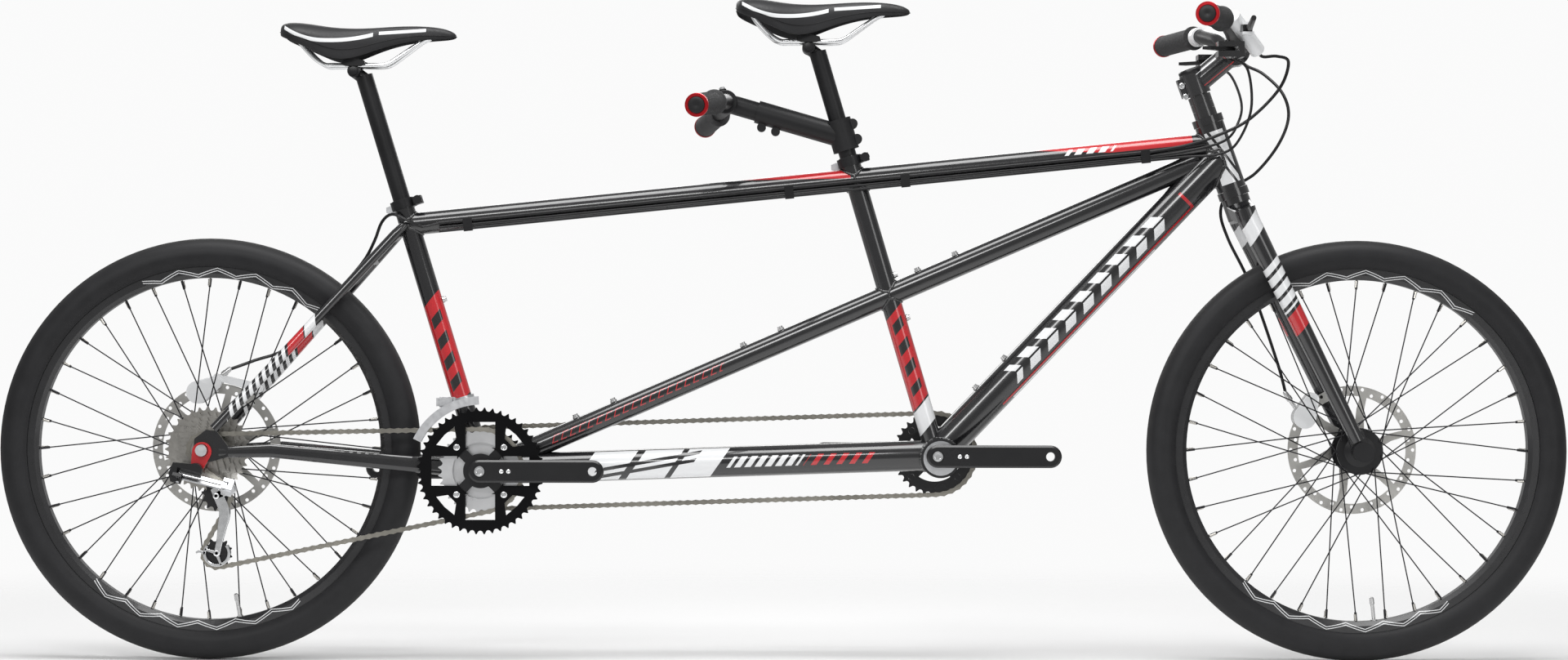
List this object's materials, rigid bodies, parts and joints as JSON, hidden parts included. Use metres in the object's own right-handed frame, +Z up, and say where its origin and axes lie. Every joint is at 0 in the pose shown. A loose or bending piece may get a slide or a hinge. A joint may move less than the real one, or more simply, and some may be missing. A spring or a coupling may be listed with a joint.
{
  "type": "tandem bicycle",
  "caption": "Two-rider bicycle: one long triangulated tube frame, coupled cranksets, disc brakes, derailleur gears and a telescopic rear stem.",
  "frame": {"origin": "on the ground, midway between the two wheel axles, in the wheels' middle plane", "axes": "+X forward, +Y to the riders' left, +Z up"},
  "size_m": [2.46, 0.6154, 1.034],
  "materials": {
    "black_gloss": "gloss black paint",
    "black_plastic": "black moulded plastic",
    "bright": "bright metal",
    "chain_steel": "grey chain steel",
    "grip_rubber": "ribbed rubber",
    "hose_black": "black housing",
    "saddle_cover": "black synthetic leather",
    "satin_black": "satin black anodised",
    "silver": "silver anodised",
    "tyre_rubber": "slick rubber",
    "white_lever": "white lacquer"
  },
  "bodies": {
    "frame": {"head_tube": "black_gloss", "top_tube": "black_gloss", "down_tube": "black_gloss", "captain_seat_tube": "black_gloss", "stoker_seat_tube": "black_gloss", "keel_tube": "black_gloss", "lateral_tube": "black_gloss", "bracket_shells": "black_gloss", "chain_stays": "black_gloss", "seat_stays": "black_gloss", "seat_collars": "satin_black", "bracket_bearings": "silver", "bottle_bolts": "bright", "frame_cables": "hose_black", "rear_caliper": "silver", "front_mech_body": "silver", "timing_chain": "chain_steel", "drive_chain": "chain_steel", "rear_axle": "bright", "mech_b_knuckle": "satin_black"},
    "steering": {"fork": "black_gloss", "stem": "satin_black", "captain_bar": "satin_black", "lever_clamps": "white_lever", "front_caliper": "silver", "front_axle": "satin_black", "control_cables": "hose_black"},
    "front_wheel": {"front_tyre": "tyre_rubber", "front_rim": "satin_black", "front_spokes": "bright", "front_hub": "satin_black", "front_rotor": "bright"},
    "rear_wheel": {"rear_tyre": "tyre_rubber", "rear_rim": "satin_black", "rear_spokes": "bright", "rear_hub": "satin_black", "rear_rotor": "bright"},
    "freewheel": {"cassette": "bright"},
    "stoker_crankset": {"stoker_cranks": "satin_black", "chainrings": "satin_black"},
    "captain_crankset": {"captain_cranks": "satin_black"},
    "right_brake": {"right_brake_lever": "satin_black"},
    "left_brake": {"left_brake_lever": "satin_black"},
    "right_shifter": {"right_shift_lever": "black_plastic"},
    "left_shifter": {"left_shift_lever": "black_plastic"},
    "front_mech": {"front_mech_cage": "silver"},
    "outer_link": {"mech_outer_link": "silver"},
    "inner_link": {"mech_inner_link": "silver"},
    "p_knuckle": {"mech_p_knuckle": "silver"},
    "rear_cage": {"mech_cage": "silver"},
    "guide_wheel": {"guide_pulley": "black_plastic"},
    "tension_wheel": {"tension_pulley": "black_plastic"},
    "captain_post": {"captain_seatpost": "satin_black", "captain_saddle": "saddle_cover", "stoker_stem": "satin_black"},
    "stoker_post": {"stoker_seatpost": "satin_black", "stoker_saddle": "saddle_cover"},
    "stoker_bars": {"stoker_bar": "grip_rubber"},
    "captain_cam": {"captain_seat_lever": "bright"},
    "stoker_cam": {"stoker_seat_lever": "bright"}
  },
  "joints": [
    {"name": "steering_turn", "type": "hinge", "parent": "frame", "child": "steering", "pos_m": [0.85475, 0, 0.31398], "axis": [-0.3338, 0, 0.9426], "range_deg": [-60, 60], "deforming": ["control_cables"]},
    {"name": "front_wheel_spin", "type": "hinge", "parent": "steering", "child": "front_wheel", "pos_m": [0.9, 0, 0.33], "axis": [0, 1, 0], "continuous": true},
    {"name": "rear_wheel_spin", "type": "hinge", "parent": "frame", "child": "rear_wheel", "pos_m": [-0.9, 0, 0.33], "axis": [0, 1, 0], "continuous": true},
    {"name": "stoker_crank_spin", "type": "hinge", "parent": "frame", "child": "stoker_crankset", "pos_m": [-0.47119, 0, 0.298], "axis": [0, 1, 0], "continuous": true, "deforming": ["timing_chain", "drive_chain"]},
    {"name": "captain_crank_spin", "type": "hinge", "parent": "frame", "child": "captain_crankset", "pos_m": [0.2396, 0, 0.322], "axis": [0, 1, 0], "continuous": true},
    {"name": "freewheel_spin", "type": "hinge", "parent": "frame", "child": "freewheel", "pos_m": [-0.9, 0, 0.33], "axis": [0, 1, 0], "continuous": true},
    {"name": "mech_shift", "type": "hinge", "parent": "frame", "child": "outer_link", "pos_m": [-0.93318, -0.09233, 0.29529], "axis": [0.1911, 0.6157, 0.7645], "range_deg": [0, 31]},
    {"name": "inner_link_turn", "type": "hinge", "parent": "frame", "child": "inner_link", "pos_m": [-0.93482, -0.08367, 0.28871], "axis": [0.1911, 0.6157, 0.7645], "range_deg": [0, 31]},
    {"name": "p_knuckle_turn", "type": "hinge", "parent": "outer_link", "child": "p_knuckle", "pos_m": [-0.86118, -0.09233, 0.27729], "axis": [0.1911, 0.6157, 0.7645], "range_deg": [-31, 0]},
    {"name": "mech_cage_swing", "type": "hinge", "parent": "p_knuckle", "child": "rear_cage", "pos_m": [-0.857, -0.064, 0.27], "axis": [0, -1, 0], "range_deg": [-5, 38], "stiffness_Nm_per_rad": 3},
    {"name": "guide_pulley_spin", "type": "hinge", "parent": "rear_cage", "child": "guide_wheel", "pos_m": [-0.88, -0.064, 0.259], "axis": [0, 1, 0], "continuous": true},
    {"name": "tension_pulley_spin", "type": "hinge", "parent": "rear_cage", "child": "tension_wheel", "pos_m": [-0.879, -0.064, 0.17], "axis": [0, 1, 0], "continuous": true},
    {"name": "front_mech_swing", "type": "hinge", "parent": "frame", "child": "front_mech", "pos_m": [-0.5036, -0.038, 0.404], "axis": [1, 0, 0], "range_deg": [-6, 6]},
    {"name": "right_brake_pull", "type": "hinge", "parent": "steering", "child": "right_brake", "pos_m": [0.70786, -0.15, 0.98011], "axis": [0, 0, -1], "range_deg": [0, 13], "stiffness_Nm_per_rad": 4, "springref_deg": -5.73},
    {"name": "left_brake_pull", "type": "hinge", "parent": "steering", "child": "left_brake", "pos_m": [0.70786, 0.15, 0.98011], "axis": [0, 0, 1], "range_deg": [0, 13], "stiffness_Nm_per_rad": 4, "springref_deg": -5.73},
    {"name": "right_shift_push", "type": "hinge", "parent": "steering", "child": "right_shifter", "pos_m": [0.68386, -0.128, 0.95011], "axis": [0, 0, 1], "range_deg": [0, 20], "stiffness_Nm_per_rad": 0.5, "springref_deg": -5.73},
    {"name": "left_shift_push", "type": "hinge", "parent": "steering", "child": "left_shifter", "pos_m": [0.68386, 0.128, 0.95011], "axis": [0, 0, -1], "range_deg": [0, 20], "stiffness_Nm_per_rad": 0.5, "springref_deg": -5.73},
    {"name": "captain_post_slide", "type": "slide", "parent": "frame", "child": "captain_post", "axis": [-0.284, 0, 0.9588], "range_m": [0, 0.06]},
    {"name": "stoker_post_slide", "type": "slide", "parent": "frame", "child": "stoker_post", "axis": [-0.2924, 0, 0.9563], "range_m": [-0.12, 0.04]},
    {"name": "stoker_stem_extend", "type": "slide", "parent": "captain_post", "child": "stoker_bars", "axis": [-0.9607, 0, 0.2775], "range_m": [-0.03, 0.05]},
    {"name": "captain_cam_open", "type": "hinge", "parent": "frame", "child": "captain_cam", "pos_m": [0.12702, 0.0179, 0.78973], "axis": [-0.284, 0, 0.9588], "range_deg": [-150, 0]},
    {"name": "stoker_cam_open", "type": "hinge", "parent": "frame", "child": "stoker_cam", "pos_m": [-0.57458, 0.0179, 0.72134], "axis": [-0.2924, 0, 0.9563], "range_deg": [-150, 0]}
  ],
  "couplings": [
    {"joint": "captain_crank_spin", "follows": "stoker_crank_spin", "ratio": 1},
    {"joint": "freewheel_spin", "follows": "stoker_crank_spin", "ratio": 2.6667},
    {"joint": "guide_pulley_spin", "follows": "stoker_crank_spin", "ratio": -2.9091},
    {"joint": "tension_pulley_spin", "follows": "stoker_crank_spin", "ratio": 2.9091},
    {"joint": "inner_link_turn", "follows": "mech_shift", "ratio": 1},
    {"joint": "p_knuckle_turn", "follows": "mech_shift", "ratio": -1}
  ]
}
